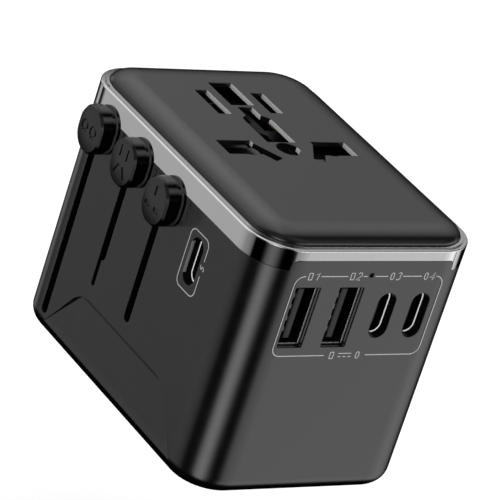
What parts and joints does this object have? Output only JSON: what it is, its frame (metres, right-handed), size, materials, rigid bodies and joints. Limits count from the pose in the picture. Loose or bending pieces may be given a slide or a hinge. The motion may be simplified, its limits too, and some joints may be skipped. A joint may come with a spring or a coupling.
{
  "type": "universal travel adapter",
  "caption": "Travel adapter block with a multi-country outlet, sliding plug pins on side buttons and USB charging ports.",
  "frame": {"origin": "centre of the pin face, on the plane z = 0 of the block's rounded bottom rim", "axes": "+Z is the outlet normal, -Y is the face with the front USB ports, -X is the face with the plug sliders"},
  "size_m": [0.0549, 0.0722, 0.056],
  "materials": {
    "black_satin": "satin",
    "black_gloss": "gloss",
    "dark_plastic": "matte",
    "chrome": "polished",
    "steel": "plain",
    "nickel": "nickel plated",
    "brass": "plain",
    "board": "solder mask",
    "clear": "clear",
    "ferrite": "sintered",
    "winding_tape": "tape",
    "aluminium": "sleeved can"
  },
  "bodies": {
    "housing": {"body_shell": "black_satin", "base_plate": "black_satin", "chrome_band": "chrome", "outlet_cover": "black_satin", "case_screws": "steel", "contact_carrier": "dark_plastic", "neutral_contact": "brass", "live_contact": "brass", "earth_contact": "nickel", "neutral_rail": "brass", "live_rail": "brass", "main_board": "board", "board_screws": "steel", "usb_board": "board", "side_board": "board", "usb_a_shells": "nickel", "usb_a_tongues": "dark_plastic", "usb_a_contacts": "nickel", "usb_c_shells": "nickel", "usb_c_tongues": "dark_plastic", "side_port_shell": "nickel", "side_port_tongue": "dark_plastic", "light_pipe": "clear", "transformer_core": "ferrite", "transformer_winding": "winding_tape", "capacitors": "aluminium", "fuse": "clear", "fuse_caps": "nickel", "fuse_clips": "brass", "controller_chips": "dark_plastic", "shutter_spring": "steel"},
    "safety_shutter": {"shutter": "dark_plastic"},
    "eu_slider": {"eu_knob": "black_gloss", "eu_plug_body": "dark_plastic", "eu_pins": "nickel"},
    "us_slider": {"us_knob": "black_gloss", "us_carriage": "dark_plastic", "us_blade_retainer": "dark_plastic"},
    "left_blade": {"us_blade_left": "brass"},
    "right_blade": {"us_blade_right": "brass"},
    "uk_slider": {"uk_knob": "black_gloss", "uk_carriage": "dark_plastic", "uk_line_pins": "brass", "uk_pin_sleeves": "dark_plastic", "uk_earth_pin": "nickel"}
  },
  "joints": [
    {"name": "eu_slide", "type": "slide", "parent": "housing", "child": "eu_slider", "axis": [0, 0, -1], "range_m": [0, 0.0378]},
    {"name": "us_slide", "type": "slide", "parent": "housing", "child": "us_slider", "axis": [0, 0, -1], "range_m": [0, 0.0178]},
    {"name": "uk_slide", "type": "slide", "parent": "housing", "child": "uk_slider", "axis": [0, 0, -1], "range_m": [0, 0.0238]},
    {"name": "left_blade_twist", "type": "hinge", "parent": "us_slider", "child": "left_blade", "pos_m": [-0.00635, 0.012, 0.02], "axis": [0, 0, -1], "range_deg": [0, 30]},
    {"name": "right_blade_twist", "type": "hinge", "parent": "us_slider", "child": "right_blade", "pos_m": [0.00635, 0.012, 0.02], "axis": [0, 0, 1], "range_deg": [0, 30]},
    {"name": "shutter_slide", "type": "slide", "parent": "housing", "child": "safety_shutter", "axis": [0, -1, 0], "range_m": [0, 0.004]}
  ]
}
